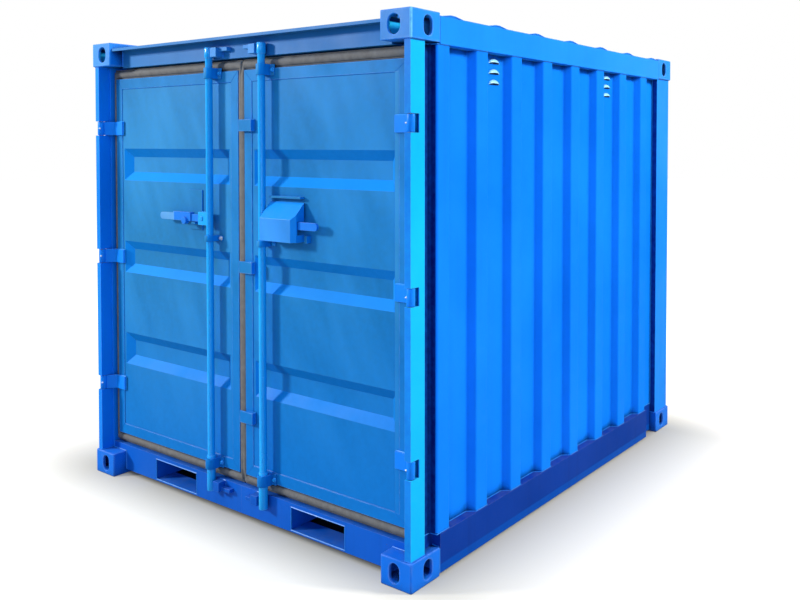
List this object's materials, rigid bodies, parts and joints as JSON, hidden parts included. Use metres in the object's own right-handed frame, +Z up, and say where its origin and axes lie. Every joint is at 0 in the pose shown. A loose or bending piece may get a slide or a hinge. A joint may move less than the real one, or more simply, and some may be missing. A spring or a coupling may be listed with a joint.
{
  "type": "shipping container",
  "caption": "Short steel storage container with two hinged end doors, lock rods, corrugated walls, fork pockets and corner castings.",
  "frame": {"origin": "centre of the ground rectangle, at the underside of the bottom corner castings", "axes": "+X to the right as seen facing the doors, +Y from the doors to the closed end, +Z up"},
  "size_m": [2.2, 2.438, 2.26],
  "materials": {
    "painted_steel": "satin blue paint",
    "gasket_rubber": "weathered dull rubber",
    "plywood": "sealed plywood",
    "pin_steel": "bare worn steel"
  },
  "bodies": {
    "frame": {"bottom_rail_left": "painted_steel", "bottom_rail_right": "painted_steel", "castings_door_bottom": "painted_steel", "castings_door_top": "painted_steel", "castings_rear_bottom": "painted_steel", "castings_rear_top": "painted_steel", "door_header": "painted_steel", "door_post_left": "painted_steel", "door_post_right": "painted_steel", "door_sill": "painted_steel", "floor": "plywood", "floor_bearers": "painted_steel", "fork_pocket_left": "painted_steel", "fork_pocket_right": "painted_steel", "hinge_pins": "pin_steel", "rear_header": "painted_steel", "rear_post_left": "painted_steel", "rear_post_right": "painted_steel", "rear_sill": "painted_steel", "rear_wall": "painted_steel", "rod_keepers": "painted_steel", "roof": "painted_steel", "side_wall_left": "painted_steel", "side_wall_right": "painted_steel", "top_rail_left": "painted_steel", "top_rail_right": "painted_steel", "vents": "painted_steel"},
    "left_door": {"door_frame_left": "painted_steel", "door_panel_left": "painted_steel", "door_gasket_left": "gasket_rubber", "hinge_straps_left": "painted_steel", "rod_brackets_left": "painted_steel", "handle_catch_left": "painted_steel"},
    "right_door": {"door_frame_right": "painted_steel", "door_panel_right": "painted_steel", "door_gasket_right": "gasket_rubber", "hinge_straps_right": "painted_steel", "rod_brackets_right": "painted_steel", "handle_catch_right": "painted_steel"},
    "left_rod": {"lock_rod_left": "painted_steel"},
    "left_handle": {"handle_left": "painted_steel"},
    "right_rod": {"lock_rod_right": "painted_steel", "handle_right": "painted_steel", "lock_box": "painted_steel"}
  },
  "joints": [
    {"name": "right_door_hinge", "type": "hinge", "parent": "frame", "child": "right_door", "pos_m": [1.073, -1.19, 1.147], "axis": [0, 0, 1], "range_deg": [0, 265]},
    {"name": "left_door_hinge", "type": "hinge", "parent": "frame", "child": "left_door", "pos_m": [-1.073, -1.19, 1.147], "axis": [0, 0, -1], "range_deg": [0, 265]},
    {"name": "right_rod_turn", "type": "hinge", "parent": "right_door", "child": "right_rod", "pos_m": [0.186, -1.173, 1.386], "axis": [0, 0, 1], "range_deg": [-110, 0]},
    {"name": "left_rod_turn", "type": "hinge", "parent": "left_door", "child": "left_rod", "pos_m": [-0.186, -1.173, 1.386], "axis": [0, 0, -1], "range_deg": [-110, 0]},
    {"name": "left_handle_lift", "type": "hinge", "parent": "left_rod", "child": "left_handle", "pos_m": [-0.232, -1.173, 1.386], "axis": [0, 1, 0], "range_deg": [0, 25]}
  ]
}
